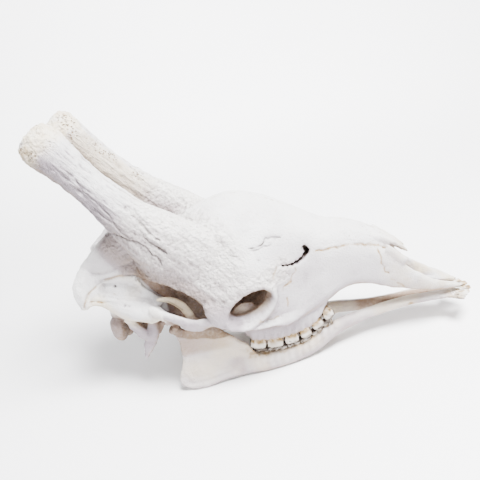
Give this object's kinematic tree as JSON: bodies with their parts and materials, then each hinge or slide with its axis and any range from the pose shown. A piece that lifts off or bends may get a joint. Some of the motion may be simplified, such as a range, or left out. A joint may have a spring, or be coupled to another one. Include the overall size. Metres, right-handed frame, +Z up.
{
  "type": "giraffe skull",
  "caption": "Giraffe skull with its lower jaw: domed brow, two blunt bony horns, open eye sockets, worn cheek teeth and a long snout, lying level on the jaw's lower edges.",
  "frame": {"origin": "middle of the bounding box in plan, on the surface that the jaw rests on", "axes": "+X forward to the front teeth, +Y to the animal's left, +Z up"},
  "size_m": [0.6518, 0.2216, 0.4689],
  "materials": {
    "skull_bone": "dry, sun-bleached bone",
    "horn_bone": "dry, porous and grooved bone",
    "jaw_bone": "smooth, slightly stained bone"
  },
  "bodies": {
    "root": {"braincase": "skull_bone", "face": "skull_bone", "nasal_bones": "skull_bone", "premaxilla_right": "skull_bone", "premaxilla_left": "skull_bone", "ossicone_right": "horn_bone", "ossicone_left": "horn_bone", "mandible_right": "jaw_bone", "mandible_left": "jaw_bone"}
  },
  "joints": []
}
